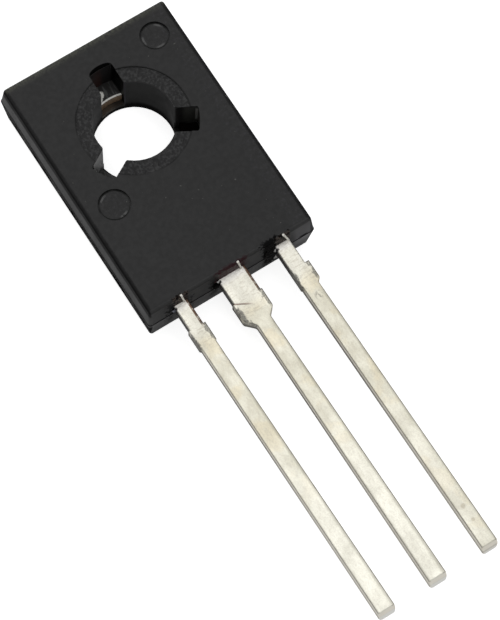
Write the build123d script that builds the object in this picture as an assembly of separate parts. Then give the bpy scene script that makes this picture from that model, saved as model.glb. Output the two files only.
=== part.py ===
from build123d import *
import math
import os

# Power transistor in a fully moulded three-lead package with a mounting hole.
#
# It lies on its back: X across the body, +Y from the leads towards the hole end, +Z out of the
# plain front face. The origin is on the mounting hole's axis, on the flat back. Millimetres.

# Moulded body, measured at the parting line unless a name says otherwise.
body_width = 7.54
body_height = 11.03
body_thickness = 2.65
parting_height = 1.52      # from the back up to the line where the two mould halves meet
hole_to_top = 3.89
draft_front = 6.0          # degrees, of the front half's walls
draft_back = 5.8           # degrees, of the back half's walls
parting_step = 0.015       # how far the back half stands out past the front half
front_edge_radius = 0.2
front_corner_radius = 0.12
back_corner_radius = 0.12
back_edge_radius = 0.06

# Mounting hole, the rough ring round it and the three notches that its mould pin leaves.
hole_radius = 1.65
ring_radius = 2.26
ring_depth = 0.04
notch_count = 3
notch_width = 1.02
notch_reach = 2.55         # from the hole's axis to a notch's outer wall
notch_corner_radius = 0.08
notch_mouth_radius = 0.08

# Shallow ejector pin marks on the front face: x, y, radius.
pin_marks = [(2.56, 2.60, 0.56), (-2.47, -2.56, 0.61)]
pin_mark_depth = 0.05
pin_groove_width = 0.07    # the fine groove round a mark's rim
pin_groove_depth = 0.09

# Copper stampings.
pitch = 2.29
sheet = 0.52               # thickness of the copper sheet
lead_length = 14.2         # from the body's parting line to the tips
lead_width_root = 0.65     # at the top of the long section
# Each lead's tip: how far it has strayed to the right, its width, and what was cut off its length.
emitter_tip = (0.065, 0.72, 0.01)
collector_tip = (0.05, 0.75, 0.02)
base_tip = (0.10, 0.67, 0.05)
tip_corner_radius = 0.12
tip_slope_length = 0.2     # the sheared end slopes back from the rear face by this much
tip_slope_depth = 0.42
lead_edge_radius = 0.05    # where the punch drew the front edges down
dam_bar_start = 1.05       # stubs of the sheared dam bar, as distances below the body
dam_bar_end = 1.85
shoulder_radius = 0.2
# How far each lead stands out past the long section's sides: left and right where it leaves the
# body, then left and right at its stubs.
emitter_edges = (-0.005, -0.045, 0.055, 0.045)
collector_edges = (0.305, 0.245, 0.365, 0.305)
base_edges = (0.035, -0.025, 0.035, 0.145)

# Collector plate, buried in the moulding, and the neck that lifts it to the lead's level.
plate_width = 5.9
plate_top = 2.95           # from the hole's axis to the plate's upper edge
plate_bottom_gap = 2.39    # from the body's lower wall to the plate's lower edge
plate_cover = 0.46         # moulding compound under the plate
plate_hole_radius = 1.85
plate_corner = 0.5
lock_notch_radius = 0.3
neck_bend_radius = 0.4
neck_run_out = 0.3         # the flat run at each end of the neck's slope

# Bond posts of the two outer leads.
post_width = 1.75
post_height = 1.15
post_edge_gap = 0.7        # from the body's lower wall to the post
post_shift = 0.3           # how far a post's centre lies inward of its lead's
post_corner_radius = 0.15
post_hole_radius = 0.2
post_hole_out = 0.44       # from the post's centre outward, to its lock hole
post_hole_down = 0.23

# Chip, its solder and its two bond wires.
die_width = 2.0
die_thickness = 0.28
die_hole_gap = 0.5         # from the plate's hole to the chip
die_edge_gap = 0.4         # from the chip to the plate's lower edge
solder_margin = 0.1
solder_thickness = 0.06
wire_radius = 0.125
wire_cover = 0.32          # compound over the middle of a wire's loop
foot_width = 0.34
foot_height = 0.12
foot_length = 0.56
foot_place = 0.25          # share of the chip's width and length from its centre to a wire's foot

# Heights and places that follow from the sizes above.
body_bottom = body_height - hole_to_top
lead_back = parting_height
lead_front = lead_back + sheet
plate_back = plate_cover
plate_front = plate_back + sheet
plate_bottom = body_bottom - plate_bottom_gap
die_front = plate_front + solder_thickness + die_thickness
die_length = plate_bottom - plate_hole_radius - die_hole_gap - die_edge_gap
die_y = -(plate_hole_radius + die_hole_gap + die_length / 2)
lead_half = lead_width_root / 2
notch_angles = [90 + index * 360 / notch_count for index in range(notch_count)]


def half_moulding(width, height, depth, draft, corner, centre_y):
    """One half of the moulding, tapered away from the parting plane, its corners rounded."""
    outline = Plane.XY.offset(parting_height) * Pos(0, centre_y) * Rectangle(width, height)
    half = extrude(outline, depth, taper=draft)
    upright = [edge for edge in half.edges() if edge.bounding_box().size.Z > abs(depth) / 2]
    return fillet(upright, corner)


def outer_moulding():
    """The two drafted halves, with a fine step where they meet."""
    centre_y = hole_to_top - body_height / 2
    front = half_moulding(body_width - 2 * parting_step, body_height - 2 * parting_step,
                          body_thickness - parting_height, draft_front, front_corner_radius, centre_y)
    front = fillet(front.faces().sort_by(Axis.Z)[-1].edges(), front_edge_radius)
    back = half_moulding(body_width, body_height, -parting_height, draft_back, back_corner_radius, centre_y)
    back = fillet(back.faces().sort_by(Axis.Z)[0].edges(), back_edge_radius)
    return front + back


def hole_outline():
    """The hole as the front face shows it: a circle with three notches, its mouth corners rounded.

    The circles start where they are cut away, so that no seam crosses a wall that shows.
    """
    end = Rot(0, 0, 180) * Circle(notch_reach)
    lug = Pos(notch_reach / 2, 0) * Rectangle(notch_reach, notch_width) & end
    lug = fillet(lug.vertices().group_by(Axis.X)[-1], notch_corner_radius)
    outline = Rot(0, 0, notch_angles[0]) * Circle(hole_radius)
    for angle in notch_angles:
        outline += Rot(0, 0, angle) * lug
    mouths = [corner for corner in outline.vertices()
              if math.isclose(math.hypot(corner.X, corner.Y), hole_radius, rel_tol=1e-3)]
    return fillet(mouths, notch_mouth_radius)


def plate_window(angle):
    """Where a notch goes on past the plate's front, so that the plate's cut edge shows."""
    outline = Pos(notch_reach / 2, 0) * Rectangle(notch_reach, notch_width) & Circle(plate_hole_radius)
    return Rot(0, 0, angle) * extrude(Plane.XY.offset(plate_back) * outline, sheet)


def pin_mark(x, y, radius):
    """An ejector pin's shallow dish, with a finer groove round its rim."""
    front = Plane.XY.offset(body_thickness)
    dish = extrude(front * Circle(radius), -pin_mark_depth)
    rim = Circle(radius + pin_groove_width / 2) - Circle(radius - pin_groove_width / 2)
    return Pos(x, y) * (dish + extrude(front * rim, -pin_groove_depth))


def plain_body():
    """The moulding with its hole, ring, notches and pin marks, still solid where the metal sits."""
    body = outer_moulding()
    body -= extrude(Circle(hole_radius), body_thickness)
    body -= extrude(Plane.XY.offset(plate_front) * hole_outline(), body_thickness)
    body -= extrude(Plane.XY.offset(body_thickness) * Circle(ring_radius), -ring_depth)
    for angle in notch_angles:
        body -= plate_window(angle)
    for mark in pin_marks:
        body -= pin_mark(*mark)
    return body


def lead_side(exit_out, stub_out, tip_out, tip_y):
    """One side of a lead from the moulding to its tip, as distances out from the lead's centre line.

    exit_out and stub_out are how far it stands out past the long section's side at its root.
    """
    wall = -body_bottom
    corners = [(lead_half + exit_out, wall + post_edge_gap)]
    if stub_out > exit_out:
        corners.append((lead_half + exit_out, wall - dam_bar_start))
    return corners + [
        (lead_half + stub_out, wall - dam_bar_start), (lead_half + stub_out, wall - dam_bar_end),
        (lead_half, wall - dam_bar_end - stub_out), (tip_out, tip_y)]


def flat_lead(centre_x, edges, tip):
    """A lead from inside the moulding to its tip, with its stubs and its drawn-down front edges."""
    exit_left, exit_right, stub_left, stub_right = edges
    tip_shift, tip_width, tip_cut = tip
    tip_y = tip_cut - body_bottom - lead_length
    right = lead_side(exit_right, stub_right, tip_width / 2 + tip_shift, tip_y)
    left = lead_side(exit_left, stub_left, tip_width / 2 - tip_shift, tip_y)
    left = [(-x, y) for x, y in reversed(left)]
    outline = make_face(Polyline(*right, *left, close=True))
    outline = fillet(outline.vertices().group_by(Axis.Y)[0], tip_corner_radius)
    for side, stub_out in ((-1, stub_left), (1, stub_right)):
        if stub_out > 2 * lead_edge_radius:
            shoulder_y = -(body_bottom + dam_bar_end + stub_out / 2)
            shoulder = [corner for corner in outline.vertices()
                        if corner.X * side > 0 and abs(corner.Y - shoulder_y) < stub_out]
            outline = fillet(shoulder, min(shoulder_radius, stub_out))
    lead = extrude(Plane.XY.offset(lead_back) * outline, sheet)
    lead -= tip_slope(tip_y)
    drawn = lead.faces().sort_by(Axis.Z)[-1].edges().sort_by(Axis.Y)[:-1]
    return Pos(centre_x, 0) * fillet(drawn, lead_edge_radius)


def tip_slope(tip_y):
    """What the shear took off a tip's front, as a wedge across the lead."""
    start = (tip_y + tip_slope_length, lead_front)
    section = Polyline(start, (tip_y, lead_front - tip_slope_depth), (tip_y, lead_front), close=True)
    return extrude(Plane.YZ * make_face(section), pitch / 2, both=True)


def outer_lead(side, edges, tip):
    """The emitter's lead (side -1) or the base's (side +1), with its bond post in the moulding."""
    post_x = side * (pitch - post_shift)
    post_y = -body_bottom + post_edge_gap + post_height / 2
    post = fillet(Rectangle(post_width, post_height).vertices(), post_corner_radius)
    lock_hole = Pos(side * post_hole_out, -post_hole_down) * Circle(post_hole_radius)
    post = Plane.XY.offset(lead_back) * Pos(post_x, post_y) * (post - lock_hole)
    return flat_lead(side * pitch, edges, tip) + extrude(post, sheet)


def collector():
    """The plate under the chip, its neck and the middle lead, as one stamping."""
    height = plate_top + plate_bottom
    plate = chamfer(Rectangle(plate_width, height).vertices(), plate_corner)
    plate = Pos(0, (plate_top - plate_bottom) / 2) * plate - Circle(plate_hole_radius)
    for side in (-1, 1):
        plate -= Pos(side * plate_width / 2, -plate_hole_radius) * Circle(lock_notch_radius)
    stamping = extrude(Plane.XY.offset(plate_back) * plate, sheet)

    exit_left, exit_right = collector_edges[:2]
    neck_width = lead_width_root + exit_left + exit_right
    neck_x = (exit_right - exit_left) / 2
    mid_plate = plate_back + sheet / 2
    mid_lead = lead_back + sheet / 2
    lead_start = -body_bottom + post_edge_gap
    path = FilletPolyline(
        (neck_x, -plate_bottom + neck_bend_radius, mid_plate), (neck_x, -plate_bottom - neck_run_out, mid_plate),
        (neck_x, lead_start + neck_run_out, mid_lead), (neck_x, lead_start, mid_lead),
        radius=neck_bend_radius)
    section = Plane(path @ 0, x_dir=(1, 0, 0), z_dir=path % 0) * Rectangle(neck_width, sheet)
    return stamping + sweep(section, path) + flat_lead(0, collector_edges, collector_tip)


def chip():
    """The silicon chip on the plate, between the hole and the leads."""
    return Pos(0, die_y, plate_front + solder_thickness) * extrude(Rectangle(die_width, die_length), die_thickness)


def solder():
    """The thin layer that holds the chip down."""
    outline = Rectangle(die_width + 2 * solder_margin, die_length + 2 * solder_margin)
    return Pos(0, die_y, plate_front) * extrude(outline, solder_thickness)


def bond_wire(side):
    """A bond wire that arches from the chip to an outer lead's post, flattened at both feet."""
    start = Vector(side * die_width * foot_place, die_y - die_length * foot_place, die_front)
    end = Vector(side * (pitch - post_shift), -body_bottom + post_edge_gap + post_height / 2, lead_front)
    lift = Vector(0, 0, wire_radius)
    middle = (start + end) / 2
    top = Vector(middle.X, middle.Y, body_thickness - wire_cover - wire_radius)
    path = ThreePointArc(start + lift, top, end + lift)
    wire = sweep(Plane(path @ 0, z_dir=path % 0) * Circle(wire_radius), path)
    along = Vector(end.X - start.X, end.Y - start.Y, 0)
    for point in (start, end):
        foot = Box(foot_length, foot_width, foot_height, align=(Align.CENTER, Align.CENTER, Align.MIN))
        wire += Plane(point, x_dir=along, z_dir=(0, 0, 1)) * foot
    return wire


def build():
    """Every piece in its place. The moulding fills all that the metal and the chip leave."""
    inside = {
        "collector_frame": collector(),
        "emitter_lead": outer_lead(-1, emitter_edges, emitter_tip),
        "base_lead": outer_lead(1, base_edges, base_tip),
        "die_attach": solder(),
        "die": chip(),
        "emitter_bond_wire": bond_wire(-1),
        "base_bond_wire": bond_wire(1),
    }
    body = plain_body()
    for piece in inside.values():
        body -= piece
    return {"epoxy_body": body, **inside}


def main():
    os.makedirs("parts", exist_ok=True)
    for name, piece in build().items():
        piece.label = name
        export_step(piece, os.path.join("parts", name + ".step"))


main()
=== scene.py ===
"""Looks of a power transistor: satin moulded epoxy, tinned copper leads, a chip and bond wires."""
import math

import bmesh
import bpy
from mathutils import Matrix, Vector, noise


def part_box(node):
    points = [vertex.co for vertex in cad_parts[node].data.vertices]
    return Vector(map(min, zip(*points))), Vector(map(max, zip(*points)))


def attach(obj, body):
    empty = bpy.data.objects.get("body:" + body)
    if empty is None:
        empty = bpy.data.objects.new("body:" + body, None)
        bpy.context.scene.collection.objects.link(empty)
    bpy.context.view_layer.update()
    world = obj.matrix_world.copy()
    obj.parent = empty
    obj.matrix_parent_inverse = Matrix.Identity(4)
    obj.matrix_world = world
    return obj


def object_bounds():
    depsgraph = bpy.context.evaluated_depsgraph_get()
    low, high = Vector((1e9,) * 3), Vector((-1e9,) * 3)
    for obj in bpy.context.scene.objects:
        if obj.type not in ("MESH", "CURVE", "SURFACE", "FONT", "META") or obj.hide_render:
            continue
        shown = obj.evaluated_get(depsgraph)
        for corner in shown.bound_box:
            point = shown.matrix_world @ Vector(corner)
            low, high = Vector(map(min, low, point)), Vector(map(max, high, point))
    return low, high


bl_info = {
    "name": "Power Transistor Looks",
    "version": (1, 0, 0),
    "blender": (4, 5, 0),
    "location": "View3D > Sidebar > Transistor",
    "description": "Dresses the transistor's solids and lights them",
    "category": "Object",
}

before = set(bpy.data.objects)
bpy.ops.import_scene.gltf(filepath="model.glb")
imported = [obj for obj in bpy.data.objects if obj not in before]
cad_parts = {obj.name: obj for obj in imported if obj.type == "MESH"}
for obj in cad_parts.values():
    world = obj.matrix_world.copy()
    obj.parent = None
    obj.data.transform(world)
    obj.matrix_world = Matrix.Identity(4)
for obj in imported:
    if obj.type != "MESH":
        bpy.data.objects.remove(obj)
cad_low, cad_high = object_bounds()
body_low, body_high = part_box("epoxy_body")
lead_low, lead_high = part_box("base_lead")

MM = 0.001
LEADS = ("emitter_lead", "collector_frame", "base_lead")

# Where the solids stand. The hole's centre is at x 0, y 0.
FRONT = body_high.z                    # the front face
PARTING = lead_low.z                   # where the two mould halves meet, and the leads' back
LEAD_TOP = lead_high.z
PLATE_FRONT = 0.98 * MM
LEFT = body_low.x                      # the walls, at the parting line
RIGHT = body_high.x
TOP = body_high.y
WALL = body_low.y                      # the lower wall, which the leads come out of
DRAFT = math.radians(6)                # how far the walls lean
LEAD_END = cad_low.y                   # the farthest of the three tips
LONG_SECTION = -9.2 * MM               # below here the leads are narrow
PITCH = 2.29 * MM
STRAYS = ((-PITCH, 0.065 * MM), (0, 0.05 * MM), (PITCH, 0.10 * MM))     # x of a root, its tip's stray
HOLE = 1.65 * MM
PLATE_HOLE = 1.85 * MM
RING = 2.26 * MM
NOTCH_END = 2.55 * MM                  # the notches reach this far from the hole's centre
SCAR_X = 1.72 * MM                     # where the mould's gate was
PIN_MARKS = ((2.56 * MM, 2.60 * MM, 0.56 * MM, (43, 176, 270)),     # place, reach, angles of the glints
             (-2.47 * MM, -2.56 * MM, 0.61 * MM, (119, 284)))

NOISE_SEED = 1                         # any number but 0, which takes the time
BLACK = (0, 0, 0)
# Near black, laid on for painted shade and for the dark patches by the leads and the gate.
NEAR_BLACK = (0.002, 0.002, 0.002)


class MouldingSettings(bpy.types.PropertyGroup):
    """Colours and shine of the moulding."""
    epoxy: bpy.props.FloatVectorProperty(
        name="Epoxy", description="Colour of the moulding compound",
        subtype="COLOR", size=3, min=0, max=1, default=(0.0130, 0.0130, 0.0132))
    deep: bpy.props.FloatVectorProperty(
        name="Deep", description="Colour of the compound inside the notches",
        subtype="COLOR", size=3, min=0, max=1, default=(0.012, 0.011, 0.011))
    deep_red: bpy.props.FloatVectorProperty(
        name="Deep red", description="Colour of the stained end of the top notch",
        subtype="COLOR", size=3, min=0, max=1, default=(0.036, 0.017, 0.015))
    # A lighter olive band along the top edge.
    top_olive_band: bpy.props.FloatVectorProperty(
        name="Bloom", description="Colour of the olive residue along the top edge",
        subtype="COLOR", size=3, min=0, max=1, default=(0.058, 0.060, 0.045))
    rust: bpy.props.FloatVectorProperty(
        name="Rust", description="Colour of the red stain over the middle lead",
        subtype="COLOR", size=3, min=0, max=1, default=(0.036, 0.011, 0.014))
    shine: bpy.props.FloatProperty(
        name="Shine", description="Specular level of the front face", default=0.28)


class LeadSettings(bpy.types.PropertyGroup):
    """Colours of the stampings."""
    tin: bpy.props.FloatVectorProperty(
        name="Tin", description="Colour of the clean tin plating",
        subtype="COLOR", size=3, min=0, max=1, default=(0.88, 0.855, 0.73))
    tin_dull: bpy.props.FloatVectorProperty(
        name="Dull tin", description="Colour of the tin where it has dulled",
        subtype="COLOR", size=3, min=0, max=1, default=(0.82, 0.785, 0.65))
    tin_warm: bpy.props.FloatVectorProperty(
        name="Warm tin", description="Colour of the tin where copper tints it",
        subtype="COLOR", size=3, min=0, max=1, default=(0.87, 0.81, 0.64))
    # Painted light: the tin near the body is painted brighter, against the shade there.
    tin_root_lit: bpy.props.FloatVectorProperty(
        name="Root tin", description="Colour of the brighter tin near the body",
        subtype="COLOR", size=3, min=0, max=1, default=(0.93, 0.91, 0.81))
    tin_tip: bpy.props.FloatVectorProperty(
        name="Tip tin", description="Colour of the brighter tin near the tips",
        subtype="COLOR", size=3, min=0, max=1, default=(1.0, 0.98, 0.87))
    copper: bpy.props.FloatVectorProperty(
        name="Copper", description="Colour of the copper that the shear laid bare",
        subtype="COLOR", size=3, min=0, max=1, default=(0.12, 0.055, 0.028))
    smear: bpy.props.FloatVectorProperty(
        name="Smear", description="Colour of the dark smears at the shoulders",
        subtype="COLOR", size=3, min=0, max=1, default=(0.13, 0.125, 0.11))
    film: bpy.props.FloatVectorProperty(
        name="Film", description="Colour of the thin compound film on the plate in the notches",
        subtype="COLOR", size=3, min=0, max=1, default=(0.004, 0.003, 0.003))


class DetailSettings(bpy.types.PropertyGroup):
    """Sizes of the small waste that moulding and shearing left."""
    scar_width: bpy.props.FloatProperty(
        name="Scar width", description="Width of the broken gate's scar",
        unit="LENGTH", default=0.46 * MM)
    scar_rise: bpy.props.FloatProperty(
        name="Scar rise", description="How far the scar stands out",
        unit="LENGTH", default=0.13 * MM)
    # The slivers are pale tin, and also a painted highlight.
    sliver_thickness: bpy.props.FloatProperty(
        name="Sliver", description="Thickness of the tin slivers over the leads",
        unit="LENGTH", default=0.10 * MM)


class StageSettings(bpy.types.PropertyGroup):
    """The floor, the lights, the room and the camera."""
    floor_size: bpy.props.FloatProperty(
        name="Floor", description="Side of the floor", unit="LENGTH", default=2.0)
    overhead_level: bpy.props.FloatProperty(
        name="Overhead", description="Brightness of the soft light overhead", default=1.35)
    far_level: bpy.props.FloatProperty(
        name="Far", description="Brightness of the soft light beyond the tab", default=1.0)
    near_level: bpy.props.FloatProperty(
        name="Near", description="Brightness of the soft light beyond the leads", default=0.4)
    room_level: bpy.props.FloatProperty(
        name="Room level", description="Brightness of the room round the lights", default=0.05)
    floor_glow: bpy.props.FloatProperty(
        name="Floor glow", description="White that the camera sees on top of the lit floor", default=0.78)
    floor_mirror: bpy.props.FloatProperty(
        name="Floor mirror", description="White that reflections see on top of the lit floor", default=0.12)
    focal_length: bpy.props.FloatProperty(
        name="Focal length", description="Focal length of the camera in millimetres", default=168.4)


class Nodes:
    """Short ways to add nodes to one material, and the colour that its layers have made so far."""

    def __init__(self, name):
        self.material = bpy.data.materials.new(name)
        self.material.use_nodes = True
        self.tree = self.material.node_tree
        self.shader = self.tree.nodes["Principled BSDF"]
        self.place = self.tree.nodes.new("ShaderNodeTexCoord").outputs["Object"]
        self.x, self.y, self.z = self.add("ShaderNodeSeparateXYZ", Vector=self.place).outputs
        self.colour = BLACK

    def feed(self, socket, value):
        if isinstance(value, bpy.types.NodeSocket):
            self.tree.links.new(value, socket)
        elif socket.type == "RGBA":
            socket.default_value = (*value, 1)
        else:
            socket.default_value = value

    def add(self, kind, **inputs):
        node = self.tree.nodes.new(kind)
        for name, value in inputs.items():
            self.feed(node.inputs[name.replace("_", " ")], value)
        return node

    def math(self, operation, *values):
        node = self.tree.nodes.new("ShaderNodeMath")
        node.operation = operation
        for socket, value in zip(node.inputs, values):
            self.feed(socket, value)
        return node.outputs[0]

    def product(self, first, *others):
        for other in others:
            first = self.math("MULTIPLY", first, other)
        return first

    def most(self, first, *others):
        for other in others:
            first = self.math("MAXIMUM", first, other)
        return first

    def outside(self, mask):
        return self.math("SUBTRACT", 1, mask)

    def noise(self, grain, detail=2.0, stretch=(1, 1, 1)):
        """Noise whose grains are about that many metres across."""
        moved = self.add("ShaderNodeMapping", Vector=self.place, Scale=stretch)
        return self.add("ShaderNodeTexNoise", Vector=moved.outputs[0], Scale=1 / grain,
                        Detail=detail).outputs["Fac"]

    def ramp(self, value, low, high, start=0.0, end=1.0):
        """start at low, end at high, smooth between and level beyond. low may be the larger."""
        node = self.tree.nodes.new("ShaderNodeMapRange")
        node.interpolation_type = "SMOOTHSTEP"
        if low > high:
            low, high, start, end = high, low, end, start
        for name, number in (("Value", value), ("From Min", low), ("From Max", high),
                             ("To Min", start), ("To Max", end)):
            self.feed(node.inputs[name], number)
        return node.outputs["Result"]

    def band(self, value, middle, half, soft):
        """1 within half of the middle, 0 beyond, soft in between."""
        return self.ramp(self.math("ABSOLUTE", self.math("SUBTRACT", value, middle)), half + soft, half)

    def far_from(self, x, y):
        """Distance from an upright line through x, y."""
        across = self.math("SUBTRACT", self.x, x)
        along = self.math("SUBTRACT", self.y, y)
        return self.math("SQRT", self.math("ADD", self.math("MULTIPLY", across, across),
                                           self.math("MULTIPLY", along, along)))

    def toward(self, angle):
        """Distance from the hole's centre in a direction, by its angle from the x axis in degrees."""
        turn = math.radians(angle)
        return self.math("ADD", self.product(self.x, math.cos(turn)), self.product(self.y, math.sin(turn)))

    def blot(self, x, y, radius, ragged):
        """A stain round x, y, its rim made ragged by noise."""
        distance = self.math("ADD", self.far_from(x, y), self.math("MULTIPLY", ragged, radius))
        return self.ramp(distance, radius * 1.5, radius * 0.9)

    def streak(self, start, end, half, ragged):
        """A stain along the line from start to end, its rim made ragged by noise."""
        run = Vector(end) - Vector(start)
        middle = (Vector(start) + Vector(end)) / 2
        way = run.normalized()
        from_x = self.math("SUBTRACT", self.x, middle.x)
        from_y = self.math("SUBTRACT", self.y, middle.y)
        shift = self.ramp(ragged, 0.25, 0.75, -half * 0.6, half * 0.6)
        along = self.math("ADD", self.product(from_x, way.x), self.product(from_y, way.y))
        across = self.math("SUBTRACT", self.product(from_y, way.x), self.product(from_x, way.y))
        along = self.math("ADD", along, shift)
        across = self.math("ADD", across, shift)
        return self.product(self.band(along, 0, run.length / 2, half),
                            self.band(across, 0, half * 0.5, half * 0.7))

    def mix(self, factor, first, second):
        node = self.tree.nodes.new("ShaderNodeMix")
        node.data_type = "RGBA"
        self.feed(node.inputs[0], factor)
        self.feed(node.inputs[6], first)
        self.feed(node.inputs[7], second)
        return node.outputs[2]

    def paint(self, mask, colour):
        """Lays a colour over the layers below, as strongly as the mask says."""
        self.colour = self.mix(mask, self.colour, colour)

    def blend(self, factor, first, second):
        """The same for two numbers."""
        node = self.tree.nodes.new("ShaderNodeMix")
        for socket, value in zip(node.inputs, (factor, 0, first, second)):
            if socket.name != "Factor" or socket.type == "VALUE":
                self.feed(socket, value)
        return node.outputs[0]

    def bump(self, height, distance, strength=1.0, below=None):
        node = self.add("ShaderNodeBump", Height=height, Distance=distance, Strength=strength)
        if below is not None:
            self.feed(node.inputs["Normal"], below)
        return node.outputs["Normal"]

    def finish(self, **inputs):
        for name, value in inputs.items():
            self.feed(self.shader.inputs[name.replace("_", " ")], value)
        return self.material


def scaled(colour, factor):
    return tuple(factor * channel for channel in colour)


class Moulding(Nodes):
    """The body's material, and what its regions share."""

    def __init__(self, settings):
        super().__init__("moulded_epoxy")
        self.settings = settings
        self.epoxy = tuple(settings.epoxy)
        self.cloud = self.noise(0.8 * MM, 4)
        self.grain = self.noise(0.11 * MM, 3)
        self.radius = self.far_from(0, 0)
        self.on_front = self.ramp(self.z, FRONT - 0.12 * MM, FRONT - 0.07 * MM)
        self.in_hole = self.product(self.ramp(self.radius, NOTCH_END + 0.2 * MM, NOTCH_END + 0.1 * MM),
                                    self.ramp(self.z, FRONT - 0.07 * MM, FRONT - 0.16 * MM))
        self.rough = 0.0     # places with a coarse grain
        self.dark = 0.0      # places painted near black: painted shade, and the dark patches by the leads and the gate
        self.dull = 0.0      # places with little shine
        self.matt = 0.0      # places with none
        self.colour = self.mix(self.ramp(self.cloud, 0.3, 0.7),
                               scaled(self.epoxy, 0.85), scaled(self.epoxy, 1.15))


def paint_ring(n):
    """The shallow ring round the hole has a rough floor, and painted shade in a fine line at its rim."""
    in_ring = n.product(n.on_front, n.ramp(n.radius, RING, RING - 0.03 * MM))
    n.paint(in_ring, n.mix(n.ramp(n.grain, 0.42, 0.68), scaled(n.epoxy, 0.9), scaled(n.epoxy, 3.0)))
    # Painted shade along the ring's rim.
    rim = n.product(n.on_front, n.band(n.radius, RING, 0.015 * MM, 0.03 * MM),
                    n.ramp(n.cloud, 0.35, 0.6, 0.05, 0.4))
    n.rough = n.most(n.rough, in_ring)
    n.dark = n.most(n.dark, rim)


def paint_pin_marks(n):
    """The ejector pins left two rough discs. Their grooves get painted shade, darker toward the top, and
    painted glints in places.
    """
    discs = 0.0
    grooves = 0.0
    glints = 0.0
    for x, y, reach, glint_angles in PIN_MARKS:
        distance = n.far_from(x, y)
        discs = n.most(discs, n.ramp(distance, reach, reach - 0.05 * MM))
        # Painted shade in the groove, darker toward the top.
        shaded = n.ramp(n.y, y - 0.30 * MM, y + 0.25 * MM, 0.15, 0.85)
        grooves = n.most(grooves, n.product(n.band(distance, reach, 0.025 * MM, 0.03 * MM), shaded))
        # Painted highlights on the groove's inner edge, at the listed angles.
        inner_edge = n.band(distance, reach - 0.08 * MM, 0.02 * MM, 0.04 * MM)
        for angle in glint_angles:
            turn = math.radians(angle)
            from_glint = n.far_from(x + reach * math.cos(turn), y + reach * math.sin(turn))
            glints = n.most(glints, n.product(inner_edge, n.ramp(from_glint, 0.26 * MM, 0.12 * MM)))
    discs = n.product(discs, n.on_front)
    grooves = n.product(grooves, n.on_front, n.ramp(n.noise(0.3 * MM, 1), 0.60, 0.45, 0.3, 1.0))
    n.paint(n.product(discs, n.ramp(n.grain, 0.5, 0.75), 0.35), scaled(n.epoxy, 4.0))
    # Painted highlights: the glints.
    n.paint(n.product(glints, n.on_front, n.ramp(n.grain, 0.38, 0.5)), (0.085, 0.085, 0.085))
    n.rough = n.most(n.rough, n.product(discs, 0.35))
    n.dark = n.most(n.dark, grooves)


def paint_front(n):
    """A lighter olive band along the top edge, mottling at the right one, and pale specks."""
    # A lighter olive band along the top edge, broken by grain.
    top_edge = n.product(n.ramp(n.y, TOP - 0.50 * MM, TOP - 0.20 * MM), n.ramp(n.grain, 0.25, 0.65))
    n.paint(top_edge, n.settings.top_olive_band)
    mottled = n.product(n.band(n.x, RIGHT - 0.55 * MM, 0.25 * MM, 0.2 * MM), n.on_front,
                        n.ramp(n.noise(0.14 * MM, 2), 0.48, 0.75))
    n.paint(mottled, (0.024, 0.023, 0.026))
    specks = n.product(n.ramp(n.noise(0.13 * MM, 1), 0.74, 0.80), n.ramp(n.cloud, 0.5, 0.6))
    n.paint(specks, (0.075, 0.075, 0.070))


def paint_walls(n):
    """The walls and rounds get painted light on the left and below, and painted shade at the right, on the
    left wall's upper band and foot, and on the seam.
    """
    # Painted highlight on the lower wall's front round.
    lower_round_highlight = n.product(n.ramp(n.y, WALL + 0.27 * MM, WALL + 0.22 * MM),
                            n.ramp(n.z, FRONT - 0.14 * MM, FRONT - 0.09 * MM))
    n.paint(lower_round_highlight, scaled(n.epoxy, 2.2))
    # Painted light on the left wall, stronger toward the top.
    left_wall = n.ramp(n.x, LEFT + 0.20 * MM, LEFT + 0.14 * MM)
    n.paint(n.product(left_wall, n.ramp(n.y, -5 * MM, 3 * MM, 0.3, 1.0)), scaled(n.epoxy, 2.7))
    # Painted shade on the left wall's upper band and at its foot, which is also matt.
    left_shade = n.product(left_wall, n.ramp(n.z, FRONT - 0.54 * MM, FRONT - 0.35 * MM))
    left_foot_shade = n.product(left_wall, n.ramp(n.z, PARTING, PARTING - 0.25 * MM),
                          n.ramp(n.cloud, 0.35, 0.6, 0.85, 1.0))
    # Painted shade on the right round, which is also dulled.
    right_round_shade = n.ramp(n.x, RIGHT - 0.24 * MM, RIGHT - 0.17 * MM)
    # Painted shade along the seam.
    seam = n.product(n.band(n.z, PARTING, 0.02 * MM, 0.03 * MM),
                     n.ramp(n.radius, NOTCH_END, NOTCH_END + 0.2 * MM))
    n.dark = n.most(n.dark, seam, left_shade, left_foot_shade, n.product(right_round_shade, 0.6))
    n.dull = n.most(n.dull, n.product(right_round_shade, 0.9))
    n.matt = n.most(n.matt, left_foot_shade)


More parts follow.
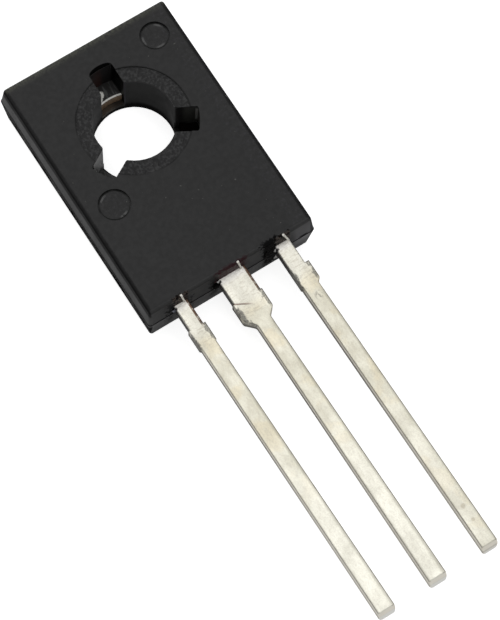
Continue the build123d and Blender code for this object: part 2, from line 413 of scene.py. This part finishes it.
def paint_lead_exits(n):
    """The lower wall: a painted reflection lightens its right end; rust over the middle lead, brown over
    the outer ones, dark patches beside them and round the gate, and painted shade between the leads and on
    the seam at the right.
    """
    on_wall = n.ramp(n.y, WALL + 0.16 * MM, WALL + 0.05 * MM)
    # Painted reflection: the wall's right end is painted lighter.
    n.paint(n.product(on_wall, n.ramp(n.x, 2.7 * MM, 3.0 * MM)), (0.058, 0.057, 0.061))
    ragged_x = n.math("ADD", n.x, n.ramp(n.grain, 0.25, 0.75, -0.2 * MM, 0.2 * MM))
    ragged_y = n.math("ADD", n.y, n.ramp(n.grain, 0.25, 0.75, -0.06 * MM, 0.06 * MM))
    above_leads = n.product(n.ramp(ragged_y, WALL + 0.26 * MM, WALL + 0.18 * MM),
                            n.ramp(n.z, LEAD_TOP - 0.1 * MM, LEAD_TOP))
    rusted = n.product(above_leads, n.band(ragged_x, 0, 0.60 * MM, 0.15 * MM),
                       n.ramp(n.grain, 0.30, 0.55, 0.35, 0.9))
    n.paint(rusted, n.settings.rust)
    browned = n.product(above_leads, n.most(n.band(n.x, PITCH, 0.3 * MM, 0.1 * MM),
                                            n.band(n.x, -PITCH, 0.3 * MM, 0.1 * MM)))
    n.paint(browned, n.mix(n.ramp(n.grain, 0.42, 0.58), (0.004, 0.003, 0.003), (0.080, 0.064, 0.055)))
    # A black patch round the gate, and dark patches left of each lead.
    gate_blot = n.product(n.ramp(ragged_y, WALL + 0.33 * MM, WALL + 0.24 * MM),
                         n.band(ragged_x, SCAR_X, 0.28 * MM, 0.14 * MM))
    dark_patches = 0.0
    for x, half, soft in ((-2.76, 0.10, 0.08), (-1.88, 0.06, 0.06), (-0.80, 0.12, 0.10)):
        dark_patches = n.most(dark_patches, n.band(ragged_x, x * MM, half * MM, soft * MM))
    # Painted shade: a dark wedge on the seam near the right end.
    seam_wedge_shade = n.product(on_wall, n.band(n.x, 3.24 * MM, 0.10 * MM, 0.15 * MM),
                     n.band(n.z, PARTING + 0.08 * MM, 0.04 * MM, 0.04 * MM))
    # Painted shade between the leads, stronger below the seam.
    shade = n.product(on_wall, n.band(n.x, 0, 2.7 * MM, 0.3 * MM),
                      n.ramp(n.z, PARTING - 0.1 * MM, PARTING, 0.40, 0.22))
    n.dark = n.most(n.dark, gate_blot, n.product(on_wall, dark_patches), seam_wedge_shade, shade)
    n.dull = n.most(n.dull, browned, rusted)


def paint_notches(n):
    """The three notches round the hole get painted shade inside, and painted light on a side or end where
    light would reach in.
    """
    beyond_bore = n.product(n.in_hole, n.ramp(n.radius, HOLE + 0.02 * MM, HOLE + 0.05 * MM))
    top_or_right = n.product(beyond_bore, n.ramp(n.math("ADD", n.x, n.y), -0.4 * MM, -0.2 * MM))
    top_end = n.product(n.ramp(n.y, NOTCH_END - 0.05 * MM, NOTCH_END - 0.01 * MM),
                        n.ramp(n.x, 0.15 * MM, -0.05 * MM))
    inside = n.mix(top_end, n.settings.deep, n.settings.deep_red)
    # Painted shade, darker toward the front face.
    inside = n.mix(n.ramp(n.z, PLATE_FRONT + 0.3 * MM, FRONT, 1.0, 0.35), BLACK, inside)
    # Painted light on the right notch's upper side.
    right_side_lit = n.product(n.ramp(n.x, 1.2 * MM, 1.3 * MM), n.ramp(n.radius, 1.85 * MM, 2.15 * MM))
    inside = n.mix(right_side_lit, inside, (0.050, 0.050, 0.046))
    # Painted shade on the top notch's right wall.
    top_side_shade = n.product(n.ramp(n.x, 0.42 * MM, 0.46 * MM), n.ramp(n.y, 1.55 * MM, 1.75 * MM))
    n.paint(top_or_right, n.mix(top_side_shade, inside, BLACK))
    # Painted highlight at the right notch's end.
    right_end_glint = n.product(n.band(n.toward(-30), 2.43 * MM, 0.03 * MM, 0.03 * MM),
                                n.ramp(n.toward(60), 0.34 * MM, 0.44 * MM),
                                n.band(n.z, 1.90 * MM, 0.40 * MM, 0.25 * MM), n.in_hole)
    n.paint(right_end_glint, (0.30, 0.30, 0.29))
    left_notch = n.product(beyond_bore, n.ramp(n.x, -1.0 * MM, -1.1 * MM), n.ramp(n.z, 0.9 * MM, 1.1 * MM))
    # Painted light on the left notch's side.
    left_side_lit = n.product(left_notch, n.ramp(n.toward(-60), -0.45 * MM, -0.49 * MM),
                          n.ramp(n.radius, 2.41 * MM, 2.37 * MM))
    n.paint(left_side_lit, (0.42, 0.42, 0.42))
    # Painted shade at the left notch's end.
    left_end_shade = n.product(left_notch, n.ramp(n.radius, 2.38 * MM, 2.42 * MM))
    n.paint(left_end_shade, n.mix(n.ramp(n.grain, 0.40, 0.60), (0.001, 0.001, 0.001), (0.012, 0.012, 0.012)))
    n.dull = n.most(n.dull, n.product(top_or_right, 0.8))


def paint_bore(n):
    """The hole's wall gets painted shade, darker downward and at its foot. Under the plate's edge, in the
    top notch, it is brown.
    """
    in_bore = n.product(n.in_hole, n.ramp(n.radius, HOLE + 0.03 * MM, HOLE + 0.01 * MM))
    # Painted shade, darker downward.
    n.paint(in_bore, n.mix(n.ramp(n.z, 0.3 * MM, 2.4 * MM), scaled(n.epoxy, 0.4), scaled(n.epoxy, 1.8)))
    # A small bluish patch on the top notch's right wall, at the bore.
    bluish_corner = n.product(n.in_hole, n.ramp(n.far_from(0.52 * MM, 1.58 * MM), 0.06 * MM, 0.03 * MM))
    n.paint(bluish_corner, (0.035, 0.033, 0.042))
    under_plate = n.product(n.in_hole, n.ramp(n.y, 1.2 * MM, 1.3 * MM), n.band(n.x, 0, 0.5 * MM, 0.05 * MM),
                            n.band(n.z, 0.36 * MM, 0.10 * MM, 0.05 * MM),
                            n.ramp(n.x, 0.3 * MM, -0.1 * MM, 0.4, 1.0))
    n.paint(under_plate, (0.060, 0.046, 0.034))
    # Painted shade at the foot of the bore, but not under the plate.
    foot = n.product(n.in_hole, n.ramp(n.z, 0.65 * MM, 0.3 * MM), n.outside(under_plate))
    n.dark = n.most(n.dark, foot)
    n.matt = n.most(n.matt, n.product(in_bore, 0.8))


def paint_chip_shade(n):
    """The front's rim round the top notch's end is painted near black and matt in a flat oval: painted
    shade of a chip.
    """
    from_x = n.math("DIVIDE", n.x, 0.50 * MM)
    from_y = n.math("DIVIDE", n.math("SUBTRACT", n.y, 2.48 * MM), 0.20 * MM)
    oval = n.math("ADD", n.math("POWER", from_x, 2), n.math("POWER", from_y, 2))
    chip_shade = n.product(n.on_front, n.ramp(oval, 1.1, 0.8))
    # Painted shade of the chip.
    n.paint(chip_shade, NEAR_BLACK)
    n.matt = n.most(n.matt, chip_shade)


def epoxy_material(settings):
    """Satin moulding compound, rough round the hole and in the pin marks, dark in the notches."""
    n = Moulding(settings)
    paint_ring(n)
    paint_pin_marks(n)
    paint_front(n)
    paint_walls(n)
    paint_lead_exits(n)
    paint_notches(n)
    paint_bore(n)
    # The gathered painted shade and dark patches are laid on in near black.
    n.paint(n.product(n.dark, 0.85), NEAR_BLACK)
    paint_chip_shade(n)
    gloss = n.product(n.ramp(n.noise(0.2 * MM, 4), 0.3, 0.7, 0.90, 1.10), settings.shine)
    gloss = n.blend(n.most(n.dark, n.dull), gloss, 0.03)
    gloss = n.blend(n.matt, gloss, 0.0)
    roughness = n.math("ADD", n.ramp(n.cloud, 0.3, 0.7, 0.42, 0.50), n.product(n.rough, 0.12))
    normal = n.bump(n.noise(0.05 * MM, 2), 0.004 * MM, 0.5)
    normal = n.bump(n.grain, 0.05 * MM, n.product(n.rough, 0.9), below=normal)
    return n.finish(Base_Color=n.colour, Roughness=roughness, Specular_IOR_Level=gloss, Normal=normal)


class Plating(Nodes):
    """The stampings' material, and what its regions share."""

    def __init__(self, settings):
        super().__init__("tinned_copper")
        self.settings = settings
        self.cloud = self.noise(0.55 * MM, 4, stretch=(1, 0.55, 1))
        self.grain = self.noise(0.09 * MM, 3, stretch=(1, 0.45, 1))
        self.fine = self.noise(0.05 * MM, 3)
        self.flank = self.ramp(self.z, LEAD_TOP - 0.02 * MM, LEAD_TOP - 0.09 * MM)
        self.covered = 0.0     # places where something hides the metal
        self.colour = self.mix(self.ramp(self.cloud, 0.42, 0.75, 0, 0.7), settings.tin, settings.tin_dull)


def paint_tin(n):
    """The tin is warm or dull in clouds, brighter toward the tips, crinkled at the roots, and painted light
    near the body.
    """
    settings = n.settings
    n.paint(n.ramp(n.noise(0.9 * MM, 2), 0.48, 0.62), settings.tin_warm)
    n.paint(n.product(n.ramp(n.grain, 0.5, 0.72), 0.45), settings.tin_dull)
    near_tips = n.product(n.ramp(n.y, -12.5 * MM, -18 * MM), n.ramp(n.x, 3 * MM, -0.5 * MM, 0.35, 1.0))
    n.paint(near_tips, settings.tin_tip)
    # Painted light near the body, brightest right at the wall.
    n.paint(n.ramp(n.y, WALL - 1.9 * MM, WALL - 1.0 * MM), settings.tin_root_lit)
    n.paint(n.ramp(n.y, WALL - 0.35 * MM, WALL - 0.05 * MM), (1.0, 0.98, 0.93))
    n.paint(n.ramp(n.grain, 0.42, 0.62, 0, 0.15), (0.58, 0.54, 0.45))
    n.paint(n.ramp(n.fine, 0.35, 0.60, 0.18, 0), (0.50, 0.46, 0.38))
    crinkles = n.product(n.ramp(n.noise(0.10 * MM, 2, stretch=(0.35, 1.2, 1)), 0.54, 0.64),
                         n.ramp(n.y, WALL - 2.2 * MM, WALL - 1.6 * MM))
    n.paint(n.product(crinkles, 0.30), (0.50, 0.45, 0.36))


def paint_long_sections(n):
    """The long sections get painted shade on their rounded edges and lower flanks, and painted light on
    their flanks and end faces.
    """
    # Painted shade on the rounded long edges.
    edges = 0.0
    run = n.ramp(n.y, LONG_SECTION, LEAD_END + 0.03 * MM)
    for place, stray in STRAYS:
        centre = n.math("ADD", place - 0.03 * MM, n.product(run, stray))
        offset = n.math("ABSOLUTE", n.math("SUBTRACT", n.x, centre))
        own_half = n.ramp(offset, 0.43 * MM, 0.42 * MM)
        edges = n.most(edges, n.product(own_half, n.ramp(offset, 0.22 * MM, 0.32 * MM)))
    edges = n.product(edges, n.ramp(n.y, LONG_SECTION, LONG_SECTION - 0.4 * MM))
    n.paint(n.product(edges, 0.42), (0.26, 0.24, 0.18))
    # Painted light on the flanks.
    n.paint(n.product(n.flank, n.ramp(n.y, WALL - 1.9 * MM, WALL - 2.2 * MM)), (1.0, 0.96, 0.86))
    end_face = n.ramp(n.y, LEAD_END + 0.11 * MM, LEAD_END + 0.05 * MM)
    # Painted shade on the flanks' lower part, stronger nearer the body.
    low_flank = n.product(n.ramp(n.z, LEAD_TOP - 0.20 * MM, LEAD_TOP - 0.36 * MM), n.outside(end_face))
    n.paint(n.product(low_flank, n.ramp(n.y, -12 * MM, -18 * MM, 0.9, 0.45)), (0.13, 0.11, 0.085))
    # Painted light on the end faces.
    n.paint(end_face, (1.0, 0.99, 0.94))


def paint_sheared_edges(n):
    """Near the body the flanks are dark, and the copper is bare along two of the right edges."""
    near_body = n.ramp(n.y, WALL - 1.2 * MM, WALL - 1.0 * MM)
    right_edges = n.most(n.band(n.x, -2.04 * MM, 0.06 * MM, 0.03 * MM),
                         n.band(n.x, 0.54 * MM, 0.06 * MM, 0.03 * MM))
    bare = n.product(near_body, right_edges, n.ramp(n.grain, 0.35, 0.5, 0.5, 1.0))
    n.paint(n.product(bare, 0.95), n.settings.copper)
    sheared = n.product(n.flank, n.ramp(n.y, WALL - 1.25 * MM, WALL - 1.0 * MM))
    n.paint(n.product(sheared, 0.95), scaled(n.settings.copper, 0.12))
    n.covered = n.most(n.covered, n.product(sheared, 0.8))


def paint_smears(n):
    """Dark smears at the shoulders: thin ones on the right edges, thicker ones on the left."""
    thin = 0.0
    for x in (-1.93, 0.62, 2.75):
        thin = n.most(thin, n.streak((x * MM, -8.22 * MM), (x * MM, -8.92 * MM), 0.14 * MM, n.grain))
    n.paint(n.product(thin, n.ramp(n.fine, 0.3, 0.6, 0.35, 0.85)), scaled(n.settings.smear, 1.4))
    thick = 0.0
    for start_x, start_y, end_x, end_y, half in (
            (-0.62, -8.45, -0.57, -9.05, 0.10), (-0.54, -9.18, -0.38, -9.36, 0.07),
            (1.90, -8.25, 1.93, -9.05, 0.10), (-2.68, -8.42, -2.68, -9.05, 0.09)):
        smear = n.streak((start_x * MM, start_y * MM), (end_x * MM, end_y * MM), half * MM, n.grain)
        thick = n.most(thick, smear)
    n.paint(n.product(thick, n.ramp(n.fine, 0.3, 0.6, 0.45, 0.9)), n.settings.smear)
    n.covered = n.most(n.covered, n.product(thick, 0.7))


def paint_spots(n):
    """Spots of compound at the roots, two of tarnish near the base lead's tip, and pits near its root."""
    film = 0.0
    for x, y, reach in ((-2.60, -7.20, 0.08), (-0.60, -7.16, 0.08), (1.96, -7.22, 0.10)):
        film = n.most(film, n.blot(x * MM, y * MM, reach * MM, n.grain))
    film = n.product(film, n.ramp(n.y, -6.9 * MM, -7.0 * MM))
    n.paint(film, n.settings.film)
    tarnish = 0.0
    for x, y, reach in ((2.35, -19.40, 0.14), (2.38, -20.03, 0.10)):
        tarnish = n.most(tarnish, n.blot(x * MM, y * MM, reach * MM, n.grain))
    n.paint(n.product(tarnish, 0.42), (0.42, 0.35, 0.24))
    pits = n.product(n.blot(2.32 * MM, -9.58 * MM, 0.24 * MM, n.grain), n.ramp(n.grain, 0.48, 0.54))
    n.paint(n.product(pits, 0.6), (0.36, 0.33, 0.28))
    n.covered = n.most(n.covered, film)


def paint_crease(n):
    """A brown crease runs slantwise into the middle lead's shoulder. Its mask comes back, for the bump."""
    slant = n.math("ADD", n.y, n.math("MULTIPLY", n.x, 0.53))
    crease = n.product(n.band(slant, -8.54 * MM, 0.012 * MM, 0.03 * MM), n.ramp(n.x, 0.1 * MM, -0.3 * MM),
                       n.ramp(n.math("ABSOLUTE", n.x), 0.9 * MM, 0.8 * MM))
    n.paint(n.product(crease, 0.6), (0.30, 0.14, 0.11))
    return crease


def paint_plate(n):
    """The plate in the notches is near black, part film and part painted reflection of the dark walls,
    except at its rim and a scrape in the top notch.

    The mask of the notches comes back, for the shine."""
    radius = n.far_from(0, 0)
    in_notch = n.product(n.ramp(radius, 2.8 * MM, 2.7 * MM), n.ramp(n.z, 1.2 * MM, 1.1 * MM))
    top_notch = n.ramp(n.y, 1.0 * MM, 1.3 * MM)
    # Painted reflection: grey streaks on the top notch's plate.
    streaks = n.product(n.ramp(n.noise(0.09 * MM, 2, stretch=(1, 0.15, 1)), 0.50, 0.66), top_notch)
    # Near black: film, and painted reflection of the dark notch walls.
    n.paint(in_notch, n.mix(streaks, n.settings.film, (0.060, 0.062, 0.060)))
    left_notch = n.product(in_notch, n.ramp(n.x, -0.8 * MM, -1.0 * MM))
    n.paint(left_notch, n.mix(n.ramp(n.grain, 0.40, 0.60), n.settings.film, (0.030, 0.030, 0.030)))
    rim = n.product(n.ramp(radius, PLATE_HOLE + 0.08 * MM, PLATE_HOLE + 0.05 * MM),
                    n.ramp(n.grain, 0.32, 0.45))
    scrape = n.streak((-0.12 * MM, 2.22 * MM), (-0.34 * MM, 1.92 * MM), 0.07 * MM, n.grain)
    at_front = n.ramp(n.z, PLATE_FRONT - 0.03 * MM, PLATE_FRONT - 0.01 * MM)
    bare = n.product(n.most(rim, scrape), at_front, top_notch)
    n.paint(n.product(in_notch, bare), (0.92, 0.91, 0.86))
    cut_edge = n.product(n.ramp(radius, PLATE_HOLE + 0.03 * MM, PLATE_HOLE + 0.01 * MM),
                         n.ramp(n.z, PLATE_FRONT - 0.01 * MM, PLATE_FRONT - 0.04 * MM))
    n.paint(n.product(in_notch, cut_edge, top_notch), (0.21, 0.14, 0.085))
    n.covered = n.most(n.covered, n.product(in_notch, n.outside(bare)))
    return in_notch


def tin_material(settings):
    """Matt tin on copper: dulled in places, bare at the shears, under a dark film in the notches."""
    n = Plating(settings)
    paint_tin(n)
    paint_long_sections(n)
    paint_sheared_edges(n)
    paint_smears(n)
    paint_spots(n)
    crease = paint_crease(n)
    in_notch = paint_plate(n)
    metallic = n.blend(n.covered, 0.85, 0.0)
    roughness = n.ramp(n.cloud, 0.3, 0.7, 0.42, 0.58)
    shine = n.blend(n.product(in_notch, n.ramp(n.x, 0.8 * MM, 1.0 * MM)), 0.5, 0.0)
    normal = n.bump(n.grain, 0.010 * MM, 0.55)
    normal = n.bump(n.math("SUBTRACT", 0, crease), 0.03 * MM, 0.8, below=normal)
    return n.finish(Base_Color=n.colour, Metallic=metallic, Roughness=roughness,
                    Specular_IOR_Level=shine, Normal=normal)


def plain_material(name, colour, darker, grain, metallic, roughness, shine=0.5):
    """A fine-grained finish for a sealed piece or a small detail."""
    n = Nodes(name)
    pattern = n.noise(grain, 3)
    return n.finish(Base_Color=n.mix(pattern, darker, colour), Metallic=metallic, Specular_IOR_Level=shine,
                    Roughness=n.ramp(pattern, 0, 1, roughness, roughness + 0.1),
                    Normal=n.bump(pattern, grain / 20, 0.4))


def dress(node, material):
    """Gives a CAD node its material."""
    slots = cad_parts[node].data.materials
    slots.clear()
    slots.append(material)


def add_piece(name, shape, material):
    """Makes an object of a finished shape, which rides on the part."""
    bmesh.ops.recalc_face_normals(shape, faces=shape.faces)
    mesh = bpy.data.meshes.new(name)
    shape.to_mesh(mesh)
    shape.free()
    mesh.materials.append(material)
    piece = bpy.data.objects.new(name, mesh)
    bpy.context.scene.collection.objects.link(piece)
    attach(piece, "root")


class DressMoulding(bpy.types.Operator):
    """Give the moulded body its satin epoxy"""
    bl_idname = "transistor.dress_moulding"
    bl_label = "Dress Moulding"

    def execute(self, context):
        dress("epoxy_body", epoxy_material(context.scene.transistor_moulding))
        return {"FINISHED"}


class DressLeads(bpy.types.Operator):
    """Give the three stampings their tin"""
    bl_idname = "transistor.dress_leads"
    bl_label = "Dress Leads"

    def execute(self, context):
        tin = tin_material(context.scene.transistor_leads)
        for node in LEADS:
            dress(node, tin)
        return {"FINISHED"}


class DressChip(bpy.types.Operator):
    """Give the chip, its solder and its wires their finishes"""
    bl_idname = "transistor.dress_chip"
    bl_label = "Dress Chip"

    def execute(self, context):
        silicon = plain_material("silicon", colour=(0.17, 0.18, 0.21), darker=(0.13, 0.14, 0.17),
                                 grain=0.05 * MM, metallic=0.6, roughness=0.15)
        solder = plain_material("solder", colour=(0.55, 0.55, 0.56), darker=(0.42, 0.42, 0.43),
                                grain=0.08 * MM, metallic=0.9, roughness=0.4)
        wire = plain_material("bond_wire", colour=(0.88, 0.88, 0.90), darker=(0.76, 0.77, 0.79),
                              grain=0.03 * MM, metallic=1.0, roughness=0.25)
        dress("die", silicon)
        dress("die_attach", solder)
        for node in ("emitter_bond_wire", "base_bond_wire"):
            dress(node, wire)
        return {"FINISHED"}


def roughen(shape, grain, reach):
    """Moves every vertex a little, by noise whose seed is set here, so that it is the same in every run."""
    noise.seed_set(NOISE_SEED)
    for vertex in shape.verts:
        vertex.co += noise.noise_vector(vertex.co / grain) * reach


def wall_y(z):
    """Where the lower wall stands at a height above the floor, with its draft."""
    return WALL + abs(z - PARTING) * math.tan(DRAFT)


class AddGateScar(bpy.types.Operator):
    """Add the rough scar on the lower wall where the moulding's gate broke off"""
    bl_idname = "transistor.add_gate_scar"
    bl_label = "Add Gate Scar"

    def execute(self, context):
        settings = context.scene.transistor_details
        low = 0.80 * MM
        high = 2.48 * MM
        centre = Vector((SCAR_X, 0, (low + high) / 2))
        upright = Matrix.Rotation(math.pi / 2, 3, "X")
        shape = bmesh.new()
        bmesh.ops.create_grid(shape, x_segments=14, y_segments=34, size=0.5)
        bmesh.ops.scale(shape, vec=(settings.scar_width, high - low, 1), verts=shape.verts)
        bmesh.ops.rotate(shape, cent=(0, 0, 0), matrix=upright, verts=shape.verts)
        bmesh.ops.translate(shape, vec=centre, verts=shape.verts)
        rim = {vertex for edge in shape.edges if edge.is_boundary for vertex in edge.verts}
        for vertex in shape.verts:
            spot = vertex.co.copy()
            rise = 0.35 + 0.9 * abs(noise.noise(spot / (0.22 * MM)))
            across = abs(spot.x - centre.x) / (settings.scar_width / 2)
            rise *= 1 - 0.6 * across ** 3
            vertex.co.y = wall_y(spot.z) - (0 if vertex in rim else settings.scar_rise * rise)
            waver = 0.14 * MM * noise.noise(spot / (0.5 * MM))
            vertex.co.x += waver + 0.07 * MM * noise.noise(spot / (0.1 * MM))
        back = bmesh.ops.extrude_face_region(shape, geom=shape.faces[:])
        buried = [item for item in back["geom"] if isinstance(item, bmesh.types.BMVert)]
        for vertex in buried:
            vertex.co.y = wall_y(vertex.co.z) + 0.05 * MM
        if len(buried) != len(shape.verts) // 2:
            shape.free()
            raise RuntimeError("the gate scar's back did not extrude")
        broken = plain_material("broken_epoxy", colour=(0.012, 0.011, 0.011), darker=(0.001, 0.001, 0.001),
                                grain=0.09 * MM, metallic=0.0, roughness=0.6, shine=0.06)
        add_piece("gate_scar", shape, broken)
        return {"FINISHED"}


class AddSlivers(bpy.types.Operator):
    """Add the pale tin slivers that stand on the wall over each lead, which also serve as painted
    highlights
    """
    bl_idname = "transistor.add_slivers"
    bl_label = "Add Slivers"

    def execute(self, context):
        thickness = context.scene.transistor_details.sliver_thickness
        # Near white: tin, and a painted highlight on the wall over each lead.
        tin = plain_material("sliver_tin_glint", colour=(0.95, 0.93, 0.88), darker=(0.75, 0.73, 0.66),
                             grain=0.04 * MM, metallic=0.2, roughness=0.5)
        slivers = (("emitter", -2.16, 2.03, -2.25),      # lead, x and z of the foot, x of the top
                   ("collector", 0.38, 2.12, 0.29),
                   ("base", 2.55, 2.03, 2.35))
        for lead, foot_x, foot_z, top_x in slivers:
            foot = Vector((foot_x * MM, wall_y(foot_z * MM) - 0.02 * MM, foot_z * MM))
            top = Vector((top_x * MM, -6.99 * MM, FRONT - 0.03 * MM))
            along = top - foot
            shape = bmesh.new()
            bmesh.ops.create_cone(shape, cap_ends=True, segments=8, radius1=thickness * 0.35,
                                  radius2=thickness * 0.5, depth=along.length)
            sides = [edge for edge in shape.edges
                     if abs(edge.verts[0].co.z - edge.verts[1].co.z) > along.length / 2]
            bmesh.ops.subdivide_edges(shape, edges=sides, cuts=5)
            roughen(shape, 0.08 * MM, 0.012 * MM)
            turn = along.to_track_quat("Z", "Y").to_matrix()
            bmesh.ops.transform(shape, matrix=turn, space=Matrix(), verts=shape.verts)
            bmesh.ops.translate(shape, vec=(foot + top) / 2, verts=shape.verts)
            add_piece(lead + "_sliver", shape, tin)
        return {"FINISHED"}


class AddCrumbs(bpy.types.Operator):
    """Add the crumbs of tin and compound at the left of each lead's exit"""
    bl_idname = "transistor.add_crumbs"
    bl_label = "Add Crumbs"

    def execute(self, context):
        tin = plain_material("crumb_tin", colour=(0.90, 0.89, 0.87), darker=(0.45, 0.44, 0.43),
                             grain=0.05 * MM, metallic=0.2, roughness=0.5)
        grey = plain_material("crumb_grey", colour=(0.34, 0.35, 0.40), darker=(0.14, 0.14, 0.17),
                              grain=0.05 * MM, metallic=0.1, roughness=0.5)
        dark = plain_material("crumb_epoxy", colour=(0.008, 0.008, 0.008), darker=(0.001, 0.001, 0.001),
                              grain=0.06 * MM, metallic=0.0, roughness=0.6, shine=0.06)
        crumbs = (("emitter_crumb", -2.63, 1.75, 0.09, grey),      # name, x, z, radius, material
                  ("collector_crumb", -0.64, 2.00, 0.06, tin),
                  ("collector_flash", -0.76, 1.70, 0.12, dark),
                  ("base_crumb", 1.93, 1.86, 0.10, tin),
                  ("base_high_crumb", 1.99, 1.99, 0.05, tin),
                  ("base_low_crumb", 1.99, 0.97, 0.10, tin))
        for name, x, z, radius, material in crumbs:
            shape = bmesh.new()
            bmesh.ops.create_icosphere(shape, subdivisions=3, radius=radius * MM)
            bmesh.ops.scale(shape, vec=(1, 0.5, 1.2), verts=shape.verts)
            centre = (x * MM, wall_y(z * MM) - radius * MM * 0.3, z * MM)
            bmesh.ops.translate(shape, vec=centre, verts=shape.verts)
            roughen(shape, 0.05 * MM, radius * MM * 0.45)
            add_piece(name, shape, material)
        return {"FINISHED"}


class BuildStage(bpy.types.Operator):
    """Build the floor, the lights and the camera"""
    bl_idname = "transistor.build_stage"
    bl_label = "Build Stage"

    def execute(self, context):
        stage = context.scene.transistor_stage
        build_floor(stage)
        build_room(stage)
        build_light("overhead", stage.overhead_level, (0.36, 1.0), (0, 0, 0.36))
        build_light("far", stage.far_level, (0.8, 0.5), (0, 0.75, 0.3))
        build_light("near", stage.near_level, (0.8, 0.5), (0, -0.75, 0.3))
        build_camera(stage)
        return {"FINISHED"}


def build_floor(stage):
    """A white floor just under the part. The camera, and reflections less so, see some white added."""
    n = Nodes("white_floor")
    path = n.add("ShaderNodeLightPath").outputs
    mirrored = n.math("MAXIMUM", path["Is Glossy Ray"], path["Is Transmission Ray"])
    glow = n.most(n.product(path["Is Camera Ray"], stage.floor_glow),
                  n.product(mirrored, stage.floor_mirror))
    material = n.finish(Base_Color=(0.75, 0.75, 0.75), Roughness=0.9, Specular_IOR_Level=0.1,
                        Emission_Color=(1.0, 1.0, 1.0), Emission_Strength=glow)
    shape = bmesh.new()
    bmesh.ops.create_grid(shape, x_segments=1, y_segments=1, size=stage.floor_size / 2)
    bmesh.ops.translate(shape, vec=(0, 0, -0.01 * MM), verts=shape.verts)
    mesh = bpy.data.meshes.new("floor")
    shape.to_mesh(mesh)
    shape.free()
    mesh.materials.append(material)
    floor = bpy.data.objects.new("floor", mesh)
    bpy.context.scene.collection.objects.link(floor)


def build_room(stage):
    """A dim room beyond the floor, which the camera sees white and reflections see somewhat brighter."""
    world = bpy.data.worlds.new("room")
    world.use_nodes = True
    tree = world.node_tree
    background = tree.nodes["Background"]
    background.inputs["Color"].default_value = (1, 1, 1, 1)
    path = tree.nodes.new("ShaderNodeLightPath")
    level = tree.nodes.new("ShaderNodeValue").outputs[0]
    level.default_value = stage.room_level
    for ray, seen in (("Is Camera Ray", 1.0), ("Is Glossy Ray", stage.floor_mirror),
                      ("Is Transmission Ray", stage.floor_mirror)):
        step = tree.nodes.new("ShaderNodeMath")
        step.operation = "MULTIPLY_ADD"
        step.inputs[1].default_value = seen - stage.room_level
        tree.links.new(path.outputs[ray], step.inputs[0])
        tree.links.new(level, step.inputs[2])
        level = step.outputs[0]
    tree.links.new(level, background.inputs["Strength"])
    bpy.context.scene.world = world


def build_light(name, level, size, position):
    """A soft rectangular light that faces the part, its face at the given brightness."""
    light = bpy.data.lights.new(name, "AREA")
    light.shape = "RECTANGLE"
    light.size, light.size_y = size
    light.energy = level * math.pi * light.size * light.size_y
    panel = bpy.data.objects.new(name, light)
    panel.location = position
    panel.rotation_euler = Vector(position).to_track_quat("Z", "Y").to_euler()
    panel.visible_camera = False
    bpy.context.scene.collection.objects.link(panel)


def build_camera(stage):
    """The camera stands to the lower left of the part and looks down at it, turned on its side."""
    camera = bpy.data.objects.new("camera", bpy.data.cameras.new("camera"))
    camera.data.lens = stage.focal_length
    camera.data.sensor_width = 36
    camera.data.clip_start = 0.01
    position = Vector((-21.65, -36.58, 106.48)) * MM
    forward = Vector((0.1943, 0.2529, -0.9478)).normalized()
    right = Vector((0.8423, -0.5382, 0.0291)).normalized()
    turn = Matrix((right, right.cross(forward), -forward)).transposed()
    camera.matrix_world = Matrix.Translation(position) @ turn.to_4x4()
    bpy.context.scene.collection.objects.link(camera)
    bpy.context.scene.camera = camera
    bpy.context.scene.view_settings.view_transform = "Standard"


class TransistorPanel(bpy.types.Panel):
    """Lists the transistor's operators"""
    bl_idname = "VIEW3D_PT_transistor"
    bl_label = "Transistor"
    bl_space_type = "VIEW_3D"
    bl_region_type = "UI"
    bl_category = "Transistor"

    def draw(self, context):
        for step in STEPS:
            self.layout.operator(step.bl_idname)


SETTINGS = {"transistor_moulding": MouldingSettings, "transistor_leads": LeadSettings,
            "transistor_details": DetailSettings, "transistor_stage": StageSettings}
STEPS = (DressMoulding, DressLeads, DressChip, AddGateScar, AddSlivers, AddCrumbs, BuildStage)


def register():
    for name, group in SETTINGS.items():
        bpy.utils.register_class(group)
        setattr(bpy.types.Scene, name, bpy.props.PointerProperty(type=group))
    for step in (*STEPS, TransistorPanel):
        bpy.utils.register_class(step)


def unregister():
    for step in (TransistorPanel, *reversed(STEPS)):
        bpy.utils.unregister_class(step)
    for name, group in SETTINGS.items():
        delattr(bpy.types.Scene, name)
        bpy.utils.unregister_class(group)


def main():
    register()
    for step in STEPS:
        group, name = step.bl_idname.split(".")
        getattr(getattr(bpy.ops, group), name)()


if __name__ == "__main__":
    main()
